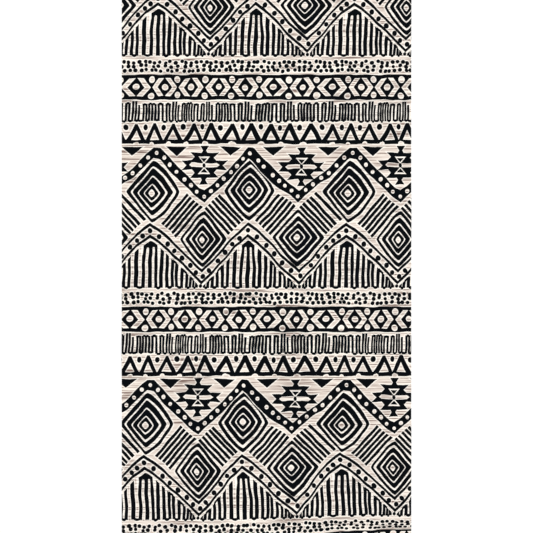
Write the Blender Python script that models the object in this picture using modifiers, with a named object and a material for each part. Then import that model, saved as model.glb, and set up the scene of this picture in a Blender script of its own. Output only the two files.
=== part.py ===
"""A cut length of printed cotton cloth, lying face up on a flat surface.

The cloth is one thin sheet. It touches the surface over most of its underside, and a few low,
soft ripples stand where a hand left them when the cloth was smoothed out.

Metres, +Z up. The origin is the middle of the footprint, on the surface that carries the cloth.
+X runs across the cloth, and +Y along it, towards the top of its print.
"""

import math
from collections import namedtuple

import bpy

# The cut. A cotton weave is about 0.4 mm thick, and the solid is the 1 mm that a simulation needs
WIDTH = 0.399
LENGTH = 0.800
THICKNESS = 0.001

# The sheet's grid: how far apart its points lie
CELL = 0.0166

# A ripple is a long, low swelling: its middle, the way its crest runs, how far the crest reaches
# from end to end, how wide the ripple is across the crest, and how high the crest stands
Ripple = namedtuple("Ripple", "x y heading_deg reach breadth height")
RIPPLES = (
    Ripple(x=-0.020, y=0.205, heading_deg=9, reach=0.520, breadth=0.105, height=0.0024),
    Ripple(x=-0.155, y=0.345, heading_deg=52, reach=0.190, breadth=0.085, height=0.0026),
    Ripple(x=0.165, y=0.375, heading_deg=-38, reach=0.170, breadth=0.080, height=0.0030),
    Ripple(x=0.165, y=0.060, heading_deg=17, reach=0.240, breadth=0.085, height=0.0025),
    Ripple(x=-0.160, y=-0.130, heading_deg=-24, reach=0.290, breadth=0.095, height=0.0028),
    Ripple(x=0.120, y=-0.235, heading_deg=-11, reach=0.300, breadth=0.100, height=0.0022),
    Ripple(x=-0.085, y=-0.385, heading_deg=78, reach=0.200, breadth=0.075, height=0.0027),
)

PRINT_COLOUR = (0.43, 0.39, 0.36, 1.0)
CLOTH_ROUGHNESS = 0.85


def clear_scene():
    """Removes what the startup file holds."""
    for thing in list(bpy.data.objects):
        bpy.data.objects.remove(thing, do_unlink=True)


def swell(distance, half_width):
    """1 in the middle of a ripple, falling smoothly to 0 at half its width and beyond."""
    if abs(distance) >= half_width:
        return 0.0
    return math.cos(math.pi * distance / (2 * half_width)) ** 2


def lift(x, y):
    """How far the underside of the cloth stands off the surface at a place on the sheet."""
    height = 0.0
    for ripple in RIPPLES:
        heading = math.radians(ripple.heading_deg)
        east, north = x - ripple.x, y - ripple.y
        along = east * math.cos(heading) + north * math.sin(heading)
        across = north * math.cos(heading) - east * math.sin(heading)
        height += ripple.height * swell(along, ripple.reach / 2) * swell(across, ripple.breadth / 2)
    return height


def cotton():
    """The cloth's plain material: a dull mix of its black print and its cream ground."""
    material = bpy.data.materials.new("printed_cotton")
    material.use_nodes = True
    surface = material.node_tree.nodes["Principled BSDF"]
    surface.inputs["Base Color"].default_value = PRINT_COLOUR
    surface.inputs["Roughness"].default_value = CLOTH_ROUGHNESS
    surface.inputs["Metallic"].default_value = 0.0
    return material


def make_cloth(collection):
    """The sheet: a grid raised by its ripples, and then given its thickness upwards."""
    bpy.ops.mesh.primitive_grid_add(
        x_subdivisions=round(WIDTH / CELL),
        y_subdivisions=round(LENGTH / CELL),
        size=1.0,
    )
    cloth = bpy.context.object
    cloth.name = "cloth"
    for point in cloth.data.vertices:
        x, y = point.co.x * WIDTH, point.co.y * LENGTH
        point.co = (x, y, lift(x, y))
    cloth.data.shade_smooth()
    cloth.data.materials.append(cotton())

    body = cloth.modifiers.new("thickness", "SOLIDIFY")
    body.thickness = THICKNESS
    body.offset = 1.0

    for holder in list(cloth.users_collection):
        holder.objects.unlink(cloth)
    collection.objects.link(cloth)
    return cloth


def main():
    clear_scene()
    collection = bpy.data.collections.new("cut_cloth")
    bpy.context.scene.collection.children.link(collection)
    make_cloth(collection)


main()
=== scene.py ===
# %% [markdown]
# # A cut length of printed cotton
#
# The object is one piece of plain cotton cloth, printed in black on a cream ground with bands of
# geometric ornament. It lies face up and flat, with a few low ripples.
#
# Two things make it. The sheet is geometry, because its ripples and its cut edges catch light. The print
# is colour in the cloth, so it belongs to the material. A picture of the print would fix its sharpness,
# so here the print is drawn with distances: at each place on the cloth, Blender works out how far the
# nearest edge of black is. That stays sharp at any zoom, and one rule draws a whole row of motifs.

import math
from collections import namedtuple

import bpy
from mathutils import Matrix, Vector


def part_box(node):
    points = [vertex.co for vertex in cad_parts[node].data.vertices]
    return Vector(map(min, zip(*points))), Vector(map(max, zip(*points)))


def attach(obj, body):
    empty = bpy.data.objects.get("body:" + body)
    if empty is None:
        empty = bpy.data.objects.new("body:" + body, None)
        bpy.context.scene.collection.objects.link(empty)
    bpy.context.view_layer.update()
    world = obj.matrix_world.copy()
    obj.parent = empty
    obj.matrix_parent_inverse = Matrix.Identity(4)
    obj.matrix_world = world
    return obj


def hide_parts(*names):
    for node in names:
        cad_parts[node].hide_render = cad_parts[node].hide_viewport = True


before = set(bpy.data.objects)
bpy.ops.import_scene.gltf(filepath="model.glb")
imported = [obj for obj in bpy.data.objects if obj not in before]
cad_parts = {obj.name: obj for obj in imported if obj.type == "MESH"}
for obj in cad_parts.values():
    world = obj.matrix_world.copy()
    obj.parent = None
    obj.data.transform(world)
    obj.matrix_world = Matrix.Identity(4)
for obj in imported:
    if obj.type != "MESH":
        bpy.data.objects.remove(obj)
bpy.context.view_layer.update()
cloth_low, cloth_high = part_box("cloth")
WIDTH = cloth_high[0] - cloth_low[0]
LENGTH = cloth_high[1] - cloth_low[1]
print(f"frame: cloth {WIDTH:.3f} x {LENGTH:.3f} m")

# %% [markdown]
# ## Sums that Blender works out
#
# Both the sheet's height and the print are sums over a place on the cloth. In the node editor, each plus
# and minus is a Math node, and hundreds of them are slow to join by hand. So a small class stands for
# the output of a node, and Python's own signs join the nodes. `a + b` makes an Add node. The same class
# works in a geometry tree and in a shader tree, because both have the Math node.

# %% Numbers that are worked out at each place
class Number:
    """A number that Blender works out anew at each place: the output of a node."""

    def __init__(self, socket):
        self.socket = socket

    def __add__(self, other):
        return maths("ADD", self, other)

    def __sub__(self, other):
        return maths("SUBTRACT", self, other)

    def __rsub__(self, other):
        return maths("SUBTRACT", other, self)

    def __mul__(self, other):
        return maths("MULTIPLY", self, other)

    def __truediv__(self, other):
        return maths("DIVIDE", self, other)

    def __neg__(self):
        return maths("MULTIPLY", self, -1.0)

    def __abs__(self):
        return maths("ABSOLUTE", self)

    __radd__ = __add__


def feed(socket, value):
    """Gives a node's input a number: a plain one is set, and a worked-out one is linked."""
    if isinstance(value, Number):
        socket.node.id_data.links.new(value.socket, socket)
    else:
        socket.default_value = value


def maths(operation, *terms):
    """A Math node on one, two or three numbers."""
    tree = next(term.socket.node.id_data for term in terms if isinstance(term, Number))
    node = tree.nodes.new("ShaderNodeMath")
    node.operation = operation
    for socket, term in zip(node.inputs, terms):
        feed(socket, term)
    return Number(node.outputs[0])


# %% Everyday sums
def least(*values):
    """The smallest of several numbers. For distances to ink, it joins shapes."""
    found = values[0]
    for value in values[1:]:
        found = maths("MINIMUM", found, value)
    return found


def most(*values):
    """The largest of several numbers. For distances to ink, it keeps what the shapes share."""
    found = values[0]
    for value in values[1:]:
        found = maths("MAXIMUM", found, value)
    return found


def hypotenuse(x, y):
    return maths("SQRT", maths("MULTIPLY_ADD", x, x, y * y))


def remainder(value, step):
    return maths("FLOORED_MODULO", value, step)


def nearest(value, step):
    """The number of the nearest multiple of the step."""
    return maths("FLOOR", value / step + 0.5)


def centred(value, step):
    """How far past the nearest multiple of the step, from half a step before to half a step after."""
    return maths("WRAP", value, step / 2, -step / 2)


# %% [markdown]
# ## The sheet
#
# Real cotton of this kind is about 0.4 mm thick and is cut with shears. The frame's solid is 1 mm thick.
# A few ripples stand 2 to 3 mm high, where a hand smoothed the cloth. A sheet's shape follows a rule,
# so Geometry Nodes make it: a grid, raised by the ripples, extruded by its thickness and closed below.
# The ripples are the frame's own, and the grid is much finer than the frame's, so they read as soft.

# %% The ripples
# A ripple's middle, the way its crest runs, and how long, how wide and how high it is
Ripple = namedtuple("Ripple", "x y heading_deg reach breadth height")
RIPPLES = (
    Ripple(x=-0.020, y=0.205, heading_deg=9, reach=0.520, breadth=0.105, height=0.0024),
    Ripple(x=-0.155, y=0.345, heading_deg=52, reach=0.190, breadth=0.085, height=0.0026),
    Ripple(x=0.165, y=0.375, heading_deg=-38, reach=0.170, breadth=0.080, height=0.0030),
    Ripple(x=0.165, y=0.060, heading_deg=17, reach=0.240, breadth=0.085, height=0.0025),
    Ripple(x=-0.160, y=-0.130, heading_deg=-24, reach=0.290, breadth=0.095, height=0.0028),
    Ripple(x=0.120, y=-0.235, heading_deg=-11, reach=0.300, breadth=0.100, height=0.0022),
    Ripple(x=-0.085, y=-0.385, heading_deg=78, reach=0.200, breadth=0.075, height=0.0027),
)


def swell(distance, half_width):
    """1 on a ripple's crest, falling smoothly to 0 at half its width and beyond."""
    crest = maths("COSINE", least(abs(distance) / half_width, 1.0) * (math.pi / 2))
    return crest * crest


def lift(x, y):
    """How far the underside stands off the surface."""
    height = None
    for ripple in RIPPLES:
        heading = math.radians(ripple.heading_deg)
        east, north = x - ripple.x, y - ripple.y
        along = east * math.cos(heading) + north * math.sin(heading)
        across = north * math.cos(heading) - east * math.sin(heading)
        rise = swell(along, ripple.reach / 2) * swell(across, ripple.breadth / 2) * ripple.height
        height = rise if height is None else height + rise
    return height


# %% The tree that makes the sheet
THICKNESS = 0.001
SHEET_CELL = 0.005

# Points closer than this are one point
SAME_PLACE = 0.00001


def new_node(tree, kind, **settings):
    """A node with its settings, such as operation="ADD"."""
    node = tree.nodes.new(kind)
    for setting, value in settings.items():
        setattr(node, setting, value)
    return node


def sheet_tree(material):
    """Geometry Nodes for a rippled sheet, with its sizes as inputs."""
    tree = bpy.data.node_groups.new("rippled_sheet", "GeometryNodeTree")
    tree.is_modifier = True
    for name in ("Width", "Length", "Thickness", "Cell"):
        tree.interface.new_socket(name, in_out="INPUT", socket_type="NodeSocketFloat")
    tree.interface.new_socket("Geometry", in_out="OUTPUT", socket_type="NodeSocketGeometry")
    link = tree.links.new
    sizes = new_node(tree, "NodeGroupInput").outputs
    width, length = Number(sizes["Width"]), Number(sizes["Length"])
    cell = Number(sizes["Cell"])

    grid = new_node(tree, "GeometryNodeMeshGrid")
    feed(grid.inputs["Size X"], width)
    feed(grid.inputs["Size Y"], length)
    feed(grid.inputs["Vertices X"], width / cell + 1.0)
    feed(grid.inputs["Vertices Y"], length / cell + 1.0)

    place = new_node(tree, "ShaderNodeSeparateXYZ")
    link(new_node(tree, "GeometryNodeInputPosition").outputs[0], place.inputs[0])
    offset = new_node(tree, "ShaderNodeCombineXYZ")
    feed(offset.inputs["Z"], lift(Number(place.outputs["X"]), Number(place.outputs["Y"])))
    raised = new_node(tree, "GeometryNodeSetPosition")
    link(grid.outputs["Mesh"], raised.inputs["Geometry"])
    link(offset.outputs[0], raised.inputs["Offset"])

    thicken = new_node(tree, "GeometryNodeExtrudeMesh", mode="FACES")
    thicken.inputs["Individual"].default_value = False
    link(raised.outputs["Geometry"], thicken.inputs["Mesh"])
    feed(thicken.inputs["Offset Scale"], Number(sizes["Thickness"]))
    underside = new_node(tree, "GeometryNodeFlipFaces")
    link(raised.outputs["Geometry"], underside.inputs["Mesh"])
    both = new_node(tree, "GeometryNodeJoinGeometry")
    link(thicken.outputs["Mesh"], both.inputs[0])
    link(underside.outputs["Mesh"], both.inputs[0])
    closed = new_node(tree, "GeometryNodeMergeByDistance")
    closed.inputs["Distance"].default_value = SAME_PLACE
    link(both.outputs[0], closed.inputs["Geometry"])

    real = new_node(tree, "GeometryNodeRealizeInstances")
    link(closed.outputs["Geometry"], real.inputs["Geometry"])
    finish = new_node(tree, "GeometryNodeSetMaterial")
    finish.inputs["Material"].default_value = material
    link(real.outputs["Geometry"], finish.inputs["Geometry"])
    link(finish.outputs["Geometry"], new_node(tree, "NodeGroupOutput").inputs["Geometry"])
    return tree


# %% [markdown]
# ## How the print is laid out
#
# A roller prints this cloth, so the drawing repeats: every 320 mm down the cloth, which is half of a
# 640 mm roller, and every 270.5 mm across, which is two of the large zigzags. Within the drawing,
# sizes are in millimetres: `across` runs to the right, and `down` from the top of the black band.
#
# Four faults make it real. The cloth fed in a little askew, so the columns lean. The roller's turn above
# the first black band lies a little to the right. The last rows were dragged aside and pulled up. And a
# hand cut the drawing, so every line wanders by up to a millimetre.

# %% The layout of the drawing
MM = 1000.0
REPEAT_DOWN = 320.0
REPEAT_ACROSS = 270.5
COLUMN = REPEAT_ACROSS / 2

# Where the drawing starts: from the cloth's middle to a zigzag's peak, and up to a black band's top
START_ACROSS = 157.9
START_DOWN = 264.1

# The drawing is cut between two repeats just above the black band, where the cloth is bare
CUT_ABOVE = 1.0

# How far the columns lean for each millimetre down, and the place where they aren't shifted
LEAN = 0.027
LEAN_FROM = 172.0

# How far to the right the roller's turn above the first black band was printed
EARLIER_SHIFT = 2.4

# Near the lower end the cloth was dragged under the roller. The rows are pulled up on the right, the
# last row is pulled up more at the right edge, and everything slides to the right. For each, a length
# says how far, and the pairs say where across or down it begins and where it is full
PULL = 6.0
PULL_ACROSS = (-110.0, 110.0)
PULL_DOWN = (480.0, 545.0)
LIFT = 10.0
LIFT_ACROSS = (20.0, 200.0)
LIFT_DOWN = (616.0, 629.0)
DRAG = 5.2
DRAG_DOWN = (530.0, 600.0)


def ramp(value, ends):
    """0 before the first end, 1 past the second, and even between."""
    return least(most((value - ends[0]) / (ends[1] - ends[0]), 0.0), 1.0)


def print_place(x, y):
    """From metres on the cloth to millimetres in the drawing, before a hand's wander."""
    down = START_DOWN - y * MM
    earlier = maths("LESS_THAN", down, -CUT_ABOVE)
    across = x * MM + START_ACROSS + (down - LEAN_FROM) * LEAN
    across = across - ramp(down, DRAG_DOWN) * DRAG - earlier * EARLIER_SHIFT
    aside = ramp(x * MM, PULL_ACROSS)
    pulled = aside * aside * ramp(down, PULL_DOWN) * PULL
    lifted = ramp(x * MM, LIFT_ACROSS) * ramp(down, LIFT_DOWN) * LIFT
    down = down + pulled + lifted
    return across, remainder(down + CUT_ABOVE, REPEAT_DOWN) - CUT_ABOVE


# %% The hand's wander
# How many times a wave comes across and down in a repeat, where it starts as a share of a turn, and how
# many millimetres it reaches
Wave = namedtuple("Wave", "times_across times_down turn reach")
ACROSS_WAVES = (
    Wave(5, 2, 0.11, 0.34),
    Wave(-3, 7, 0.53, 0.30),
    Wave(9, -5, 0.27, 0.20),
    Wave(2, 13, 0.84, 0.16),
)
DOWN_WAVES = (
    Wave(4, -5, 0.32, 0.34),
    Wave(7, 3, 0.71, 0.30),
    Wave(-10, 6, 0.05, 0.20),
    Wave(15, 2, 0.46, 0.16),
)


def wander(across, down, waves):
    """A hand's slow drift off the true line, in waves that fit the repeat, so that each has the same."""
    drift = None
    for wave in waves:
        turns = across * (wave.times_across / REPEAT_ACROSS) + down * (wave.times_down / REPEAT_DOWN)
        part = maths("SINE", (turns + wave.turn) * math.tau) * wave.reach
        drift = part if drift is None else drift + part
    return drift


# %% [markdown]
# ## Drawing with distances
#
# A shape is a sum that counts the millimetres to its edge: below zero inside its ink, and above zero
# outside. Two shapes join by the lesser of their distances. Where both must hold, the greater is taken.
# Cream knocked out of black takes the greater of the black's distance and minus the cream's.
#
# A hand-drawn row isn't even, so its places are charted, and a curve node reads numbers off the chart.

# %% Strokes, dots and charts
def stroke(distance, width):
    """A line, from the distance to its middle."""
    return abs(distance) - width / 2


def oval(x, y, half_wide, half_high):
    """A dot, a little higher than it is wide or the other way round."""
    return (hypotenuse(x / half_wide, y / half_high) - 1.0) * min(half_wide, half_high)


def knocked_out(ink, cream):
    return most(ink, -cream)


def chart(value, points):
    """A number read off a line through given points, level before the first and past the last."""
    low, high = points[0][0], points[-1][0]
    heights = [height for _, height in points]
    floor, ceiling = min(heights), max(heights)
    tree = value.socket.node.id_data
    node = tree.nodes.new("ShaderNodeFloatCurve")
    line = node.mapping.curves[0]
    scaled = [((at - low) / (high - low), (height - floor) / (ceiling - floor)) for at, height in points]
    line.points[0].location = scaled[0]
    line.points[1].location = scaled[-1]
    for place in scaled[1:-1]:
        line.points.new(*place)
    for point in line.points:
        point.handle_type = "VECTOR"
    node.mapping.update()
    feed(node.inputs["Value"], least(most((value - low) / (high - low), 0.0), 1.0))
    return Number(node.outputs[0]) * (ceiling - floor) + floor


def chances(cell, seed, amount):
    """Three numbers by chance, up to the amount either way, the same for all of a cell."""
    tree = cell.socket.node.id_data
    dice = new_node(tree, "ShaderNodeTexWhiteNoise", noise_dimensions="1D")
    feed(dice.inputs["W"], cell + seed)
    parts = new_node(tree, "ShaderNodeSeparateColor")
    tree.links.new(dice.outputs["Color"], parts.inputs[0])
    return [(Number(part) - 0.5) * (2 * amount) for part in parts.outputs[:3]]


# %% [markdown]
# ## The black band
#
# Between two black rules stand black lozenges with a cream eye, each held by two cream chevrons. Where
# the chevrons of neighbours meet, the black left over makes an X, with a cream bead above and below.
# One lozenge is drawn. The middles of the seven X's in a repeat are charted, and `cells` stretches the
# lozenge to fit between each two.

# %% Cells between charted places
CROSSINGS = (-4.5, 30.9, 68.7, 105.6, 143.6, 184.2, 222.5)


def cells(across, places):
    """The number of the cell between two charted places, and how far through it, 0 to 1."""
    first = places[0]
    points = [(place - first, number) for number, place in enumerate(places + (first + REPEAT_ACROSS,))]
    phase = chart(remainder(across - first, REPEAT_ACROSS), points)
    number = maths("FLOOR", phase)
    return number, phase - number


# %% The black band
def black_band(across, down):
    half_high = 16.9
    lozenge_wide, lozenge_high = 9.9, 13.0
    chevron_size = 1.90
    upper_bead_at, lower_bead_at = -10.5, 11.1
    y = down - half_high
    number, through = cells(across, CROSSINGS)
    typical = REPEAT_ACROSS / len(CROSSINGS)
    x = (through - 0.5) * typical
    size = abs(x) / lozenge_wide + abs(y) / lozenge_high
    to_mm = lozenge_wide * lozenge_high / math.hypot(lozenge_wide, lozenge_high)
    chevron = most((1.0 - size) * to_mm, (size - chevron_size) * to_mm, abs(y) - lozenge_high)

    aside, lower, larger = chances(number, seed=11.3, amount=0.6)
    eye = oval(x + aside, y + lower, 4.85, 4.75) - larger * 0.4
    which = remainder(maths("ROUND", through + number), float(len(CROSSINGS)))
    aside, lower, larger = chances(which, seed=17.9, amount=0.6)
    bead = centred(through, 1.0) * typical
    upper_bead = oval(bead + aside, y - upper_bead_at + lower, 4.65, 5.15) - larger * 0.5
    lower_bead = oval(bead + lower, y - lower_bead_at + aside, 4.75, 4.85) + larger * 0.4
    return knocked_out(abs(y) - half_high, least(chevron, eye, upper_bead, lower_bead))


# %% [markdown]
# ## The meander
#
# A single thin line runs up and down across the cloth. The hand didn't keep its turns even: some bends
# take in a third stroke, and some strokes end free. A chain of twelve strokes is charted, and five such
# chains fill a repeat, each stretched to fit between charted places.

# %% The meander's chart
# The gap from a stroke to the next, whether a bend joins them above and below, and how far below the
# row's top the stroke starts
Bend = namedtuple("Bend", "gap top bottom start")
BENDS = (
    Bend(4.2, top=0, bottom=1, start=-1.8),
    Bend(6.5, top=0, bottom=1, start=3.2),
    Bend(4.0, top=1, bottom=0, start=1.2),
    Bend(3.7, top=0, bottom=1, start=1.2),
    Bend(4.0, top=1, bottom=0, start=1.2),
    Bend(4.1, top=1, bottom=0, start=1.2),
    Bend(4.1, top=0, bottom=1, start=1.2),
    Bend(5.3, top=1, bottom=0, start=1.2),
    Bend(5.5, top=0, bottom=1, start=1.2),
    Bend(4.1, top=1, bottom=0, start=1.2),
    Bend(4.7, top=0, bottom=1, start=1.2),
    Bend(3.9, top=0, bottom=0, start=-1.8),
)
MEANDER_STARTS = (-25.8, 29.8, 74.9, 129.1, 187.8)
MEANDER_PEN = 2.16
MEANDER_TOP = 38.6
MEANDER_HIGH = 26.0


def flagged(number, flags, ink):
    """The ink only where a chart of ones and noughts says so, at a whole number."""
    return most(ink, (0.5 - chart(number, list(enumerate(flags)))) * 100.0)


# %% The meander
def meander(across, down):
    stands = [sum(bend.gap for bend in BENDS[:number]) for number in range(len(BENDS) + 1)]
    chain, through = cells(across, MEANDER_STARTS)
    x = through * stands[-1]
    phase = chart(x, [(stand, number) for number, stand in enumerate(stands)])
    gap = maths("FLOOR", phase)
    number = nearest(phase, 1.0)
    bends = BENDS + BENDS[:1]
    middle = chart(number, list(enumerate(stands)))
    start = chart(number, [(place, bend.start) for place, bend in enumerate(bends)])
    y = down - MEANDER_TOP
    upright = most(stroke(x - middle, MEANDER_PEN), start - y, y - (MEANDER_HIGH - 1.2))

    # A bend is a stroke across, rounded off towards its ends
    higher, lower, _ = chances(chain * len(BENDS) + gap, seed=5.7, amount=0.8)
    along = (phase - gap) * 2.0 - 1.0
    rounding = along * along
    rounding = rounding * rounding * 1.3
    top_bend = stroke(y - rounding - 1.1 + higher, MEANDER_PEN * 1.1)
    foot_bend = stroke(y + rounding - (MEANDER_HIGH - 1.1) + lower, MEANDER_PEN * 1.1)
    above = flagged(gap, [bend.top for bend in bends], top_bend)
    below = flagged(gap, [bend.bottom for bend in bends], foot_bend)
    return least(upright, above, below)


# %% [markdown]
# ## The triangles
#
# A row of tent shapes stands on a rule, ten to a repeat, each with thick legs and a blunt tip. Oval dots
# hang between the tips. Below, the rule has small round bites where the next row's cream pushed in. The
# tips and the bites are charted.

# %% The triangles
APEXES = (-23.3, 0.9, 26.4, 55.5, 78.8, 107.7, 134.0, 161.7, 187.3, 216.2)
BITES = (-22.5, -3.6, 21.1, 44.8, 70.3, 108.8, 149.0, 174.9, 205.7)


def triangles(across, down):
    tent_top, dot_at, rule_at, bite_at = 74.8, 72.2, 92.2, 95.3
    leg_lean, leg_pen, rule_pen = 0.508, 4.9, 4.7
    number, through = cells(across, APEXES)
    typical = REPEAT_ACROSS / len(APEXES)
    x = abs(centred(through, 1.0)) * typical
    which = remainder(maths("ROUND", through + number), float(len(APEXES)))
    thicker, _, higher = chances(which, seed=23.7, amount=0.7)
    y = down - tent_top + higher
    legs = stroke((x - 2.64 - y * leg_lean) / math.hypot(1.0, leg_lean), leg_pen) - thicker * 0.5
    legs = most(legs, -7.3 - y, down - 90.2)
    aside, lower, _ = chances(number, seed=29.1, amount=1.0)
    dot = oval((through - 0.5) * typical + aside, down - dot_at + lower, 2.8, 3.5)

    number, through = cells(across, BITES)
    typical = REPEAT_ACROSS / len(BITES)
    _, deeper, _ = chances(number, seed=31.9, amount=0.8)
    bite = oval(centred(through, 1.0) * typical, down - bite_at + deeper, 4.9, 3.9)
    rule = stroke(down - rule_at, rule_pen)
    return least(legs, knocked_out(rule, bite), dot)


# %% [markdown]
# ## The large zigzags
#
# Two zigzags cross the cloth. The upper one is a thick black band with cream dots along it. The lower
# one is a pair of thin lines with black dots between. Each turning point was drawn a little out of
# true, so a chart gives the turning points, and the height between them is read off it. The black one's
# chart also gives how deep the band is. The dots' places across are charted too.

# %% The zigzags' charts
Turn = namedtuple("Turn", "across down deep", defaults=(0.0,))
BLACK_TURNS = (
    Turn(0.3, 106.8, deep=14.4),
    Turn(9.2, 107.6, deep=14.8),
    Turn(23.5, 123.3, deep=16.5),
    Turn(37.7, 137.8, deep=15.4),
    Turn(66.0, 163.6, deep=14.5),
    Turn(72.2, 167.2, deep=15.4),
    Turn(79.7, 161.2, deep=13.8),
    Turn(93.1, 148.3, deep=13.5),
    Turn(106.6, 135.3, deep=14.5),
    Turn(120.0, 120.8, deep=14.5),
    Turn(126.6, 112.6, deep=15.4),
    Turn(131.6, 107.2, deep=15.0),
    Turn(136.2, 109.0, deep=18.6),
    Turn(140.4, 112.3, deep=21.4),
    Turn(147.5, 121.0, deep=21.0),
    Turn(161.7, 135.1, deep=21.4),
    Turn(175.8, 147.3, deep=18.0),
    Turn(189.9, 157.8, deep=14.2),
    Turn(201.7, 167.6, deep=15.0),
    Turn(210.6, 159.2, deep=12.6),
    Turn(230.9, 143.7, deep=10.6),
    Turn(244.5, 134.1, deep=12.8),
    Turn(257.9, 119.7, deep=13.1),
    Turn(264.6, 112.6, deep=14.2),
)
LINE_TURNS = (
    Turn(-1.4, 205.9),
    Turn(11.0, 214.4),
    Turn(26.2, 227.0),
    Turn(46.0, 246.6),
    Turn(71.7, 270.8),
    Turn(87.1, 255.4),
    Turn(103.5, 235.2),
    Turn(117.0, 219.8),
    Turn(133.0, 205.9),
    Turn(145.4, 213.6),
    Turn(160.0, 227.4),
    Turn(179.5, 248.2),
    Turn(205.5, 270.6),
    Turn(221.0, 254.6),
    Turn(237.0, 235.4),
    Turn(252.0, 219.2),
)


# %% The height of a zigzag
def zigzag(across, turns, measure="down"):
    """How far down a zigzag's middle lies at a place across, or how deep its band is there."""
    first = turns[0].across
    points = [(turn.across - first, getattr(turn, measure)) for turn in turns]
    points.append((REPEAT_ACROSS, getattr(turns[0], measure)))
    return chart(remainder(across - first, REPEAT_ACROSS), points)


# The lines fall by about as much as they go across, so an upright distance is shortened to suit
BLACK_SHARE = 1 / math.hypot(1.0, 0.93)
LINE_SHARE = 1 / math.hypot(1.0, 0.97)

# How far the black zigzag reaches, where its turns are blunt
BLACK_TOP = 100.2
BLACK_FOOT = 175.2

# How far below the pair's upper line its lower line and its dots lie
PAIR_GAP = 15.8
DOTS_GAP = 8.5

# Where the dots stand across the repeat
BLACK_DOTS = (
    3.7, 14.9, 23.5, 33.4, 44.0, 53.3, 61.7, 72.3, 81.0, 89.1, 98.5, 107.9, 115.9, 123.9,
    133.9, 144.7, 152.5, 165.3, 174.4, 182.9, 192.1, 201.1, 211.3, 221.4, 233.0, 243.1, 252.5, 263.2,
)
LINE_DOTS = (
    -1.6, 10.9, 23.5, 33.3, 43.4, 54.3, 63.4, 73.2, 81.2, 93.7, 102.8, 112.1, 121.6,
    133.1, 146.0, 158.7, 170.7, 182.2, 194.9, 207.5, 221.7, 231.6, 242.3, 251.0, 259.1,
)


# %% The zigzags
def zigzag_dots(across, down, turns, dots, half_wide, half_high):
    """Dots strung on a zigzag, from their places across it."""
    places = [dot - dots[0] for dot in dots] + [REPEAT_ACROSS]
    at = remainder(across - dots[0], REPEAT_ACROSS)
    number = nearest(chart(at, [(place, number) for number, place in enumerate(places)]), 1.0)
    place = chart(number, list(enumerate(places)))
    aside, lower, larger = chances(remainder(number, float(len(dots))), seed=47.1, amount=0.5)
    height = zigzag(place + dots[0], turns)
    return oval(at - place + aside, down - height + lower, half_wide, half_high) - larger * 0.4


def black_zigzag(across, down):
    height, deep = zigzag(across, BLACK_TURNS), zigzag(across, BLACK_TURNS, "deep")
    band = (abs(down - height) - deep / 2) * BLACK_SHARE
    band = most(band, BLACK_TOP - down, down - BLACK_FOOT)
    dots = zigzag_dots(across, down, BLACK_TURNS, BLACK_DOTS, 3.1, 3.4)
    return knocked_out(band, dots)


def below_black(across, down):
    """How far below the black zigzag a place lies."""
    edge = zigzag(across, BLACK_TURNS) + zigzag(across, BLACK_TURNS, "deep") / 2
    return (down - edge) * BLACK_SHARE


def line_zigzag(across, down):
    height = zigzag(across, LINE_TURNS)
    upper = stroke((down - height) * LINE_SHARE, 2.4)
    lower = stroke((down - height - PAIR_GAP) * LINE_SHARE, 2.35)
    dots = zigzag_dots(across, down - DOTS_GAP, LINE_TURNS, LINE_DOTS, 2.8, 3.0)
    return least(upper, lower, dots)


# %% [markdown]
# ## The stars
#
# In each valley of the black zigzag sits a stepped star, as on a flat-woven rug. It is the same to the
# left and right, and nearly the same above and below, so a quarter is drawn and folded over twice. Every
# second star stands a little lower and to the left. Small black wedges hang beside the zigzag's peaks.

# %% The stars
VALLEY = 70.8
STAR_DOWN = 124.4


def slanting(x, y, half_wide, per_mm):
    """What lies within a side that starts half_wide from the middle, and leans outwards from there."""
    return (x - half_wide - y * per_mm) / math.hypot(1.0, per_mm)


def star(across, down):
    """Three rows of black, with cream and black inside them, in millimetres from a star's middle."""
    odd = remainder(nearest(across - VALLEY, COLUMN), 2.0)
    x = abs(centred(across - VALLEY, COLUMN) + odd * 1.3)
    y = abs(down - STAR_DOWN - odd * 2.2)
    bars = most(slanting(x, y, 24.5, 1.02), y - 5.9)
    slot = most(y - 3.4, slanting(x, -y, 22.0, 1.2))
    wings = most(y - 16.9, x - 13.0 - abs(y - 10.8) * 0.9)
    stub = most(y - 26.2, 16.0 - y, x - 1.8 - abs(y - 20.6) * 0.62)
    black = least(bars, wings, stub)
    outline = most(y - 12.8, (x * 10.5 - (y - 1.4) * 8.6) / math.hypot(10.5, 8.6))
    heart = most(y - 9.6, (x * 4.4 - (y - 5.2) * 3.8) / math.hypot(4.4, 3.8))
    ring = hypotenuse(x, y) - 3.9
    eye = oval(x, y, 1.7, 2.4)
    return least(knocked_out(black, least(slot, outline, ring)), heart, eye)


# %% The small wedges
WEDGES = (-28.6, 32.3, 106.1, 165.5)
WEDGES_TOP = 99.8


def small_wedges(across, down):
    """The black triangles that hang on each side of a zigzag's peak, point down."""
    half_wide, high = 13.2, 11.3
    x = least(*(abs(centred(across - wedge, REPEAT_ACROSS)) for wedge in WEDGES))
    y = down - WEDGES_TOP
    return most(-y, (x * high + (y - high) * half_wide) / math.hypot(high, half_wide))


# %% [markdown]
# ## The nested diamonds
#
# Diamonds within diamonds fill the zigzags' peaks and valleys. All of them come from one number: how
# large a diamond passes through a place. Black lies where that number is near one of four charted sizes.
# The inner rings slip to one side, as they do when each is drawn freehand inside the last. The repeat has
# two upper diamonds and two lower ones, and each has its own measures.

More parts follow.
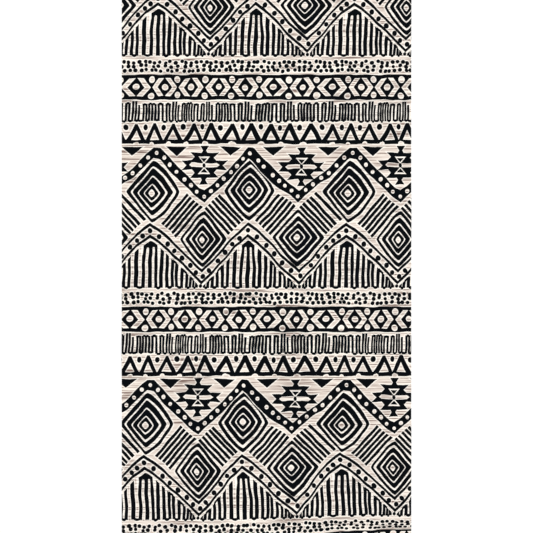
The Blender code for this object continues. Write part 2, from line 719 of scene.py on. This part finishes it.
# %% The diamonds' measures
# A diamond's middle, its half width and half height, how much its left and right sides bulge, how far its
# heart has slipped, and how much heavier its strokes get for each millimetre to the right and down
Diamond = namedtuple(
    "Diamond",
    "across down half_wide half_high left_belly right_belly slip_across slip_down heavy_across heavy_down",
)
UPPER = (
    Diamond(1.0, 161.5, 35.6, 42.0, 0.15, 0.46, -1.8, 2.0, -0.010, -0.012),
    Diamond(134.6, 159.8, 34.5, 41.3, 0.30, 0.27, -1.2, -2.2, -0.004, -0.004),
)
LOWER = (
    Diamond(72.5, 226.5, 31.6, 39.0, 0.25, 0.08, -3.0, 0.2, 0.012, 0.002),
    Diamond(202.4, 224.5, 35.1, 39.9, 0.12, 0.08, -0.8, -1.0, 0.008, 0.006),
)

# The black rings, as shares of the outline's size: the middle of each, and its breadth
Ring = namedtuple("Ring", "middle breadth")
RINGS = (
    Ring(0.217, 0.086),
    Ring(0.425, 0.147),
    Ring(0.680, 0.158),
    Ring(0.945, 0.11),
)


# %% The nested diamonds
def either(which, plain, other):
    """The plain number where which is 0, and the other where it is 1."""
    return which * (other - plain) + plain


def from_diamond(across, down, pair):
    """The place as seen from the nearer of a pair of diamonds, and which of the two that is."""
    first, second = pair
    at = remainder(across - first.across + REPEAT_ACROSS / 4, REPEAT_ACROSS) - REPEAT_ACROSS / 4
    which = maths("GREATER_THAN", at, REPEAT_ACROSS / 4)
    x = at - which * (second.across - first.across)
    return x, down - either(which, first.down, second.down), which


def diamond_size(x, y, diamond):
    """How large a diamond passes through a place: near 0 in the middle, and 1 on the outline."""
    blunt, taken_back = 1.6, 0.02
    sideways = hypotenuse(x, blunt) / diamond.half_wide
    upright = hypotenuse(y, blunt) / diamond.half_high
    belly = diamond.left_belly + ramp(x, (-4.0, 4.0)) * (diamond.right_belly - diamond.left_belly)
    return sideways + upright - sideways * upright * belly - taken_back


def nested(across, down, pair):
    """Rings of black round a cream hole, each slipped further to one side."""
    x, y, which = from_diamond(across, down, pair)
    own = Diamond(*(either(which, plain, other) for plain, other in zip(*pair)))
    inner = most(1.0 - diamond_size(x, y, own), 0.0)
    size = diamond_size(x - inner * own.slip_across, y - inner * own.slip_down, own)
    wide, high = pair[0].half_wide, pair[0].half_high
    to_mm = wide * high / math.hypot(wide, high)
    rings = least(*(stroke(size - ring.middle, ring.breadth) for ring in RINGS)) * to_mm
    return rings - x * own.heavy_across - y * own.heavy_down


def upper_diamonds(across, down):
    """They stop just short of the black zigzag, so that a cream line parts the two."""
    cream_line = 2.2
    return most(nested(across, down, UPPER), cream_line - below_black(across, down))


def lower_diamonds(across, down):
    return nested(across, down, LOWER)


# %% [markdown]
# ## The hatching
#
# What is left between the zigzags and the diamonds is filled with slanting strokes. Five run beside each
# upper side of a lower diamond, at charted distances from its middle. A filling needs no outline of its
# own: the strokes stop a little short of the zigzags, because the distance to them is already known.

# %% The hatching
# How far down the strokes run for each millimetre across, and how wide they are
LEFT_SLOPE = 1.20
RIGHT_SLOPE = 1.04
HATCH_PEN = 3.15

# How far the strokes keep from the black zigzag and from the pair of lines
CLEAR_ABOVE = 6.8
CLEAR_BELOW = 8.2

# The strokes' distances, for the first lower diamond and for the second
LEFT_STROKES = ((32.5, 39.0, 44.9, 51.3, 57.3), (33.0, 39.2, 45.9, 51.9, 58.8))
RIGHT_STROKES = ((30.9, 37.3, 44.0, 50.6, 56.1), (32.2, 37.9, 44.7, 50.6, 59.1))


def leaning_strokes(x, y, which, slope, strokes):
    """Strokes that fall by their slope, at their own distances from each diamond's middle."""
    reach = (x * slope - y) / math.hypot(1.0, slope)
    distances = [either(which, plain, other) for plain, other in zip(*strokes)]
    return least(*(stroke(reach - distance, HATCH_PEN) for distance in distances))


def hatching(across, down):
    """Five strokes beside each upper side of a lower diamond."""
    x, y, which = from_diamond(across, down, LOWER)
    left = most(leaning_strokes(-x, y, which, LEFT_SLOPE, LEFT_STROKES), x)
    right = most(leaning_strokes(x, y, which, RIGHT_SLOPE, RIGHT_STROKES), -x)
    above = CLEAR_ABOVE - below_black(across, down)
    below = (down - zigzag(across, LINE_TURNS)) * LINE_SHARE + CLEAR_BELOW
    return most(least(left, right), above, below)


# %% [markdown]
# ## The comb
#
# Under each peak of the thin zigzag hangs a comb: one line that runs up and down like the meander, taller
# towards the middle, with a solid head like a pencil's point on its three middle strokes. Those lean in
# towards the head. The strokes are charted, each with its own pen.

# %% The comb's chart
# Where a stroke stands from the comb's middle, how wide it is, and whether a bend joins it to the next
# one above and below
Tooth = namedtuple("Tooth", "stand pen top bottom")
TEETH = (
    Tooth(-59.0, 2.6, top=0, bottom=1),
    Tooth(-54.5, 2.8, top=1, bottom=0),
    Tooth(-49.0, 3.2, top=0, bottom=1),
    Tooth(-42.5, 3.4, top=1, bottom=0),
    Tooth(-35.2, 3.5, top=0, bottom=1),
    Tooth(-28.1, 3.4, top=0, bottom=0),
    Tooth(-18.8, 4.7, top=0, bottom=1),
    Tooth(-9.2, 3.6, top=0, bottom=0),
    Tooth(0.0, 4.8, top=0, bottom=0),
    Tooth(8.6, 3.7, top=0, bottom=1),
    Tooth(15.9, 4.4, top=0, bottom=0),
    Tooth(24.0, 3.7, top=0, bottom=1),
    Tooth(31.4, 3.4, top=1, bottom=0),
    Tooth(37.0, 3.3, top=0, bottom=1),
    Tooth(44.4, 3.3, top=1, bottom=0),
    Tooth(51.0, 3.0, top=0, bottom=1),
    Tooth(56.2, 2.7, top=1, bottom=0),
    Tooth(60.6, 2.6, top=0, bottom=1),
    Tooth(64.6, 2.4, top=0, bottom=0),
)


# %% The comb
COMB_MIDDLE = 134.9
COMB_FOOT = 294.6
BEND_PEN = 2.8

# How far the strokes' tops stay below the pair's lower line
BELOW_PAIR = 5.6

# Where the head's slopes would meet, if its point weren't blunt, and where the head ends
HEAD_TOP = 227.3
HEAD_FOOT = 239.0

# Near the head the middle strokes stand closer, because a place aside counts as this share further out.
# The pairs say where down and where aside that begins, and where it is full
LEAN_IN = 0.24
LEAN_IN_DOWN = (266.0, 240.0)
LEAN_IN_ASIDE = (12.4, 9.4)


def comb(across, down):
    x = centred(across - COMB_MIDDLE, COLUMN)
    x = x * (ramp(down, LEAN_IN_DOWN) * ramp(abs(x), LEAN_IN_ASIDE) * LEAN_IN + 1.0)
    roof = zigzag(across, LINE_TURNS) + PAIR_GAP + BELOW_PAIR
    stands = [tooth.stand for tooth in TEETH]
    phase = chart(x, [(stand, number) for number, stand in enumerate(stands)])
    gap = maths("FLOOR", phase)
    stand = chart(nearest(phase, 1.0), list(enumerate(stands)))
    pen = chart(nearest(phase, 1.0), [(number, tooth.pen) for number, tooth in enumerate(TEETH)])
    along = (phase - gap) * 2.0 - 1.0
    arch = along * along * 2.2
    tall = most(abs(x - stand) - pen / 2, roof + BEND_PEN / 2 - down, down - (COMB_FOOT - 1.8))
    top_bend = stroke(down - roof - BEND_PEN / 2, BEND_PEN)
    foot_bend = stroke(down + arch - (COMB_FOOT - 1.2), BEND_PEN + 0.1)
    above = flagged(gap, [tooth.top for tooth in TEETH], top_bend)
    below = flagged(gap, [tooth.bottom for tooth in TEETH], foot_bend)
    below = most(below, stands[0] - x)

    head = most(HEAD_TOP + hypotenuse(x, 2.4) * 0.66 - down, abs(x) - 10.7, down - HEAD_FOOT)
    slot = hypotenuse(abs(x) - 4.6, most(HEAD_FOOT - down, 0.0)) - 2.3
    valley_dot = oval(centred(across - VALLEY, COLUMN), down - 291.0, 1.8, 1.9)
    return least(tall, above, below, knocked_out(head, slot), valley_dot)


# %% [markdown]
# ## The scattered dots
#
# Three loose rows of dots close the drawing. Each dot is thrown off its place by chance, but the same
# chance for each repeat, because a roller prints the same dots each time it comes round.

# %% The scattered dots
def dot_row(across, down, level, count, seed):
    """A row of dots, each thrown off its place, so many to a repeat."""
    step = REPEAT_ACROSS / count
    at = across + seed
    aside, lower, larger = chances(remainder(nearest(at, step), float(count)), seed, amount=1.4)
    return oval(centred(at, step) + aside, down - level + lower, 2.22, 2.16) - larger * 0.2


def scattered_dots(across, down):
    return least(
        dot_row(across, down, level=302.4, count=38, seed=3.1),
        dot_row(across, down, level=308.0, count=31, seed=5.9),
        dot_row(across, down, level=313.8, count=37, seed=8.2),
    )


# %% [markdown]
# ## One group for each band
#
# Each band becomes a node group with the same two inputs and one output. So the material reads like the
# drawing: a row of named bands, and the least of their distances.

# %% Groups of nodes
def band_group(name, recipe):
    """A node group that gives a band's distance at a place in the drawing."""
    tree = bpy.data.node_groups.new(name, "ShaderNodeTree")
    for socket in ("Across", "Down"):
        tree.interface.new_socket(socket, in_out="INPUT", socket_type="NodeSocketFloat")
    tree.interface.new_socket("Distance", in_out="OUTPUT", socket_type="NodeSocketFloat")
    start = new_node(tree, "NodeGroupInput").outputs
    distance = recipe(Number(start["Across"]), Number(start["Down"]))
    feed(new_node(tree, "NodeGroupOutput").inputs["Distance"], distance)
    print(f"{name}: {len(tree.nodes)} nodes")
    return tree


BANDS = {
    "black_band": black_band,
    "meander": meander,
    "triangles": triangles,
    "black_zigzag": black_zigzag,
    "stars": star,
    "small_wedges": small_wedges,
    "upper_diamonds": upper_diamonds,
    "lower_diamonds": lower_diamonds,
    "hatching": hatching,
    "line_zigzag": line_zigzag,
    "comb": comb,
    "scattered_dots": scattered_dots,
}


def print_distance(tree, across, down):
    """The distance to the nearest edge of black, over all the bands."""
    distance = None
    for name, recipe in BANDS.items():
        group = new_node(tree, "ShaderNodeGroup")
        group.node_tree = band_group(name, recipe)
        group.label = name
        feed(group.inputs["Across"], across)
        feed(group.inputs["Down"], down)
        found = Number(group.outputs["Distance"])
        distance = found if distance is None else least(distance, found)
    return distance


# %% [markdown]
# ## The cotton
#
# The ground is unbleached cotton: cream, with thicker pinkish yarns that show as long, crisp streaks
# across the cloth. It is palest in a narrow rim round the black, where the printer's resist kept it
# clean. The weave is plain, about 0.42 mm from yarn to yarn, and shows in the relief. The ink is a
# blue-black that sinks into the yarns. So its edge is a little ragged, and on the back the print shows
# through, paler.

# %% Colours
def from_screen(red, green, blue):
    """A screen colour, 0 to 255, as the linear colour that a shader takes."""
    parts = [part / 255 for part in (red, green, blue)]
    linear = [part / 12.92 if part <= 0.04045 else ((part + 0.055) / 1.055) ** 2.4 for part in parts]
    return (*linear, 1.0)


INK = from_screen(4, 7, 11)
CLEAN_COTTON = from_screen(255, 250, 241)
OPEN_COTTON = from_screen(220, 207, 196)
PALE_YARN = from_screen(252, 244, 232)
DARK_YARN = from_screen(124, 103, 95)


# %% Noise and mixing
def noise(tree, x, y, wide, high, seed, detail=2.0):
    """Soft noise, 0 to 1, whose patches are about this wide and high in millimetres."""
    place = new_node(tree, "ShaderNodeCombineXYZ")
    feed(place.inputs["X"], x / wide + seed)
    feed(place.inputs["Y"], y / high + seed)
    cloud = new_node(tree, "ShaderNodeTexNoise", noise_dimensions="2D")
    cloud.inputs["Scale"].default_value = 1.0
    cloud.inputs["Detail"].default_value = detail
    tree.links.new(place.outputs[0], cloud.inputs["Vector"])
    return Number(cloud.outputs["Fac"])


def blend(tree, share, first, second):
    """A colour between two, each a plain colour or a socket."""
    mix = new_node(tree, "ShaderNodeMix", data_type="RGBA")
    feed(mix.inputs["Factor"], share)
    first_colour, second_colour, mixed = mix.inputs[6], mix.inputs[7], mix.outputs[2]
    for socket, colour in ((first_colour, first), (second_colour, second)):
        if isinstance(colour, bpy.types.NodeSocket):
            tree.links.new(colour, socket)
        else:
            socket.default_value = colour
    return mixed


# %% The printed cotton
# From yarn to yarn, in millimetres
YARN = 0.42

# How far the ink spreads past each drawn edge, in millimetres
SPREAD = 0.61

# How much of the print's black shows on the back
SHOWS_THROUGH = 0.8


def printed_cotton():
    material = bpy.data.materials.new("printed_cotton")
    material.use_nodes = True
    tree = material.node_tree
    surface = tree.nodes["Principled BSDF"]
    place = new_node(tree, "ShaderNodeSeparateXYZ")
    coordinates = new_node(tree, "ShaderNodeTexCoord")
    tree.links.new(coordinates.outputs["Object"], place.inputs[0])
    facing = new_node(tree, "ShaderNodeSeparateXYZ")
    tree.links.new(coordinates.outputs["Normal"], facing.inputs[0])
    x, y = Number(place.outputs["X"]), Number(place.outputs["Y"])
    across, down = print_place(x, y)
    x, y = x * MM, y * MM
    drifted = across + wander(across, down, ACROSS_WAVES)
    distance = print_distance(tree, drifted, down + wander(across, down, DOWN_WAVES)) - SPREAD

    yarn_noise = noise(tree, x, y, wide=1.6, high=0.5, seed=7.0, detail=1.0)
    pen_noise = noise(tree, x, y, wide=8.0, high=8.0, seed=23.0, detail=1.0)
    ragged = distance + (yarn_noise - 0.5) * 0.4 + (pen_noise - 0.5) * 0.7
    ink = ramp(-ragged, (-0.18, 0.18))

    fine = noise(tree, x, y, wide=14.0, high=0.7, seed=11.0)
    streak = noise(tree, x, y, wide=75.0, high=1.4, seed=29.0)
    band = noise(tree, x, y, wide=70.0, high=4.5, seed=53.0)
    openness = ramp(distance, (0.5, 1.7))
    ground = blend(tree, openness, CLEAN_COTTON, OPEN_COTTON)
    pale = ramp(streak + fine * 0.3, (0.62, 0.46))
    ground = blend(tree, pale * 0.8, ground, PALE_YARN)
    dark = ramp(streak * 0.8 + band * 0.25 + fine * 0.1, (0.59, 0.70))
    ground = blend(tree, dark * (openness * 0.5 + 0.5), ground, DARK_YARN)
    front = ramp(Number(facing.outputs["Z"]), (-0.3, 0.3))
    colour = blend(tree, ink * (front * (1.0 - SHOWS_THROUGH) + SHOWS_THROUGH), ground, INK)
    tree.links.new(colour, surface.inputs["Base Color"])

    feed(surface.inputs["Roughness"], 0.88 - ink * 0.1)
    surface.inputs["Specular IOR Level"].default_value = 0.04

    warp = maths("SINE", x * (math.tau / (2 * YARN)))
    weft = maths("SINE", y * (math.tau / (2 * YARN)))
    relief = warp * weft * 0.5 + yarn_noise * 0.8 + fine * 0.8
    bump = new_node(tree, "ShaderNodeBump")
    bump.inputs["Strength"].default_value = 0.35
    bump.inputs["Distance"].default_value = 0.00015
    feed(bump.inputs["Height"], relief)
    tree.links.new(bump.outputs["Normal"], surface.inputs["Normal"])
    print(f"printed cotton: {len(tree.nodes)} nodes")
    return material


# %% A mesh from a tree
def made_by(tree, name, **inputs):
    """A plain mesh from a geometry tree and its named inputs."""
    holder = bpy.data.objects.new(name, bpy.data.meshes.new(name))
    bpy.context.scene.collection.objects.link(holder)
    modifier = holder.modifiers.new("made by nodes", "NODES")
    modifier.node_group = tree
    for item in tree.interface.items_tree:
        if item.in_out == "INPUT":
            modifier[item.identifier] = inputs[item.name]
    graph = bpy.context.evaluated_depsgraph_get()
    mesh = bpy.data.meshes.new_from_object(holder.evaluated_get(graph), depsgraph=graph)
    holder.modifiers.remove(modifier)
    holder.data = mesh
    mesh.name = name
    return holder


# %% Unwrap the sheet
# Shares of the unit square: the front's width, the back's far side and width, and for the four cut edges
# where the first starts, the step from one to the next, and the width of each
FRONT_SHARE = 0.66
BACK_END = 0.98
BACK_SHARE = 0.30
EDGES_START = 0.984
EDGE_STEP = 0.004
EDGE_SHARE = 0.003


def unwrap(mesh):
    """Lays the front, the back and the four cut edges side by side on the unit square."""
    layer = mesh.uv_layers.new(name="OFBake")
    for face in mesh.polygons:
        places = [mesh.vertices[number].co for number in face.vertices]
        middle = sum(place.z for place in places) / len(places)
        faces_x = abs(face.normal.x) > abs(face.normal.y)
        side = 2 * faces_x + (face.normal.x + face.normal.y > 0)
        for corner, place in zip(face.loop_indices, places):
            across, along = place.x / WIDTH + 0.5, place.y / LENGTH + 0.5
            if face.normal.z > 0.5:
                spot = (across * FRONT_SHARE, along)
            elif face.normal.z < -0.5:
                spot = (BACK_END - across * BACK_SHARE, along)
            else:
                sideways = EDGES_START + side * EDGE_STEP + (place.z > middle) * EDGE_SHARE
                spot = (sideways, along if faces_x else across)
            layer.data[corner].uv = spot


# %% Make the sheet
# Where faces meet at more degrees than this, the edge stays crisp
CUT_EDGE_DEG = 45

tree = sheet_tree(printed_cotton())
cloth = made_by(tree, "printed_cloth", Width=WIDTH, Length=LENGTH, Thickness=THICKNESS, Cell=SHEET_CELL)
cloth.data.shade_smooth()
cloth.data.set_sharp_from_angle(angle=math.radians(CUT_EDGE_DEG))
unwrap(cloth.data)
print(f"cloth: {len(cloth.data.polygons)} faces")
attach(cloth, "root")
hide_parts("cloth")

# %% [markdown]
# ## Camera, floor and light
#
# The cloth is seen from straight above, from far enough away that nothing narrows. So the camera stands
# three metres up with a long lens. The light is soft and even, a little stronger from the cloth's top
# end, and the floor is near white.

# %% Camera
# The width that fills the picture, in metres
SEEN_ACROSS = 0.7352
CAMERA_HEIGHT = 3.0
camera_data = bpy.data.cameras.new("camera")
camera_data.sensor_width = 36.0
camera_data.lens = camera_data.sensor_width * CAMERA_HEIGHT / SEEN_ACROSS
camera = bpy.data.objects.new("camera", camera_data)
camera.location = (0.0, 0.0, CAMERA_HEIGHT)
bpy.context.scene.collection.objects.link(camera)
bpy.context.scene.camera = camera

# %% Floor
FLOOR_SIDE = 8.0
bpy.ops.mesh.primitive_plane_add(size=FLOOR_SIDE, location=(0.0, 0.0, 0.0))
floor = bpy.context.object
floor.name = "floor"
paint = bpy.data.materials.new("floor")
paint.use_nodes = True
floor_surface = paint.node_tree.nodes["Principled BSDF"]
floor_surface.inputs["Base Color"].default_value = (0.92, 0.92, 0.92, 1.0)
floor_surface.inputs["Roughness"].default_value = 0.9
floor.data.materials.append(paint)

# %% Light
def soft_box(name, place, side, watts):
    """A square lamp that faces the cloth."""
    lamp = bpy.data.lights.new(name, "AREA")
    lamp.size = side
    lamp.energy = watts
    holder = bpy.data.objects.new(name, lamp)
    holder.location = place
    aim = -holder.location
    holder.rotation_euler = aim.to_track_quat("-Z", "Y").to_euler()
    bpy.context.scene.collection.objects.link(holder)


soft_box("key", (0.0, 1.6, 3.6), side=2.5, watts=97.0)
soft_box("fill", (0.0, -2.2, 3.2), side=2.5, watts=36.0)
world = bpy.data.worlds.new("studio")
bpy.context.scene.world = world
world.use_nodes = True
sky = world.node_tree.nodes["Background"]
sky.inputs["Color"].default_value = (1.0, 1.0, 1.0, 1.0)
sky.inputs["Strength"].default_value = 0.505
bpy.context.scene.view_settings.view_transform = "Standard"
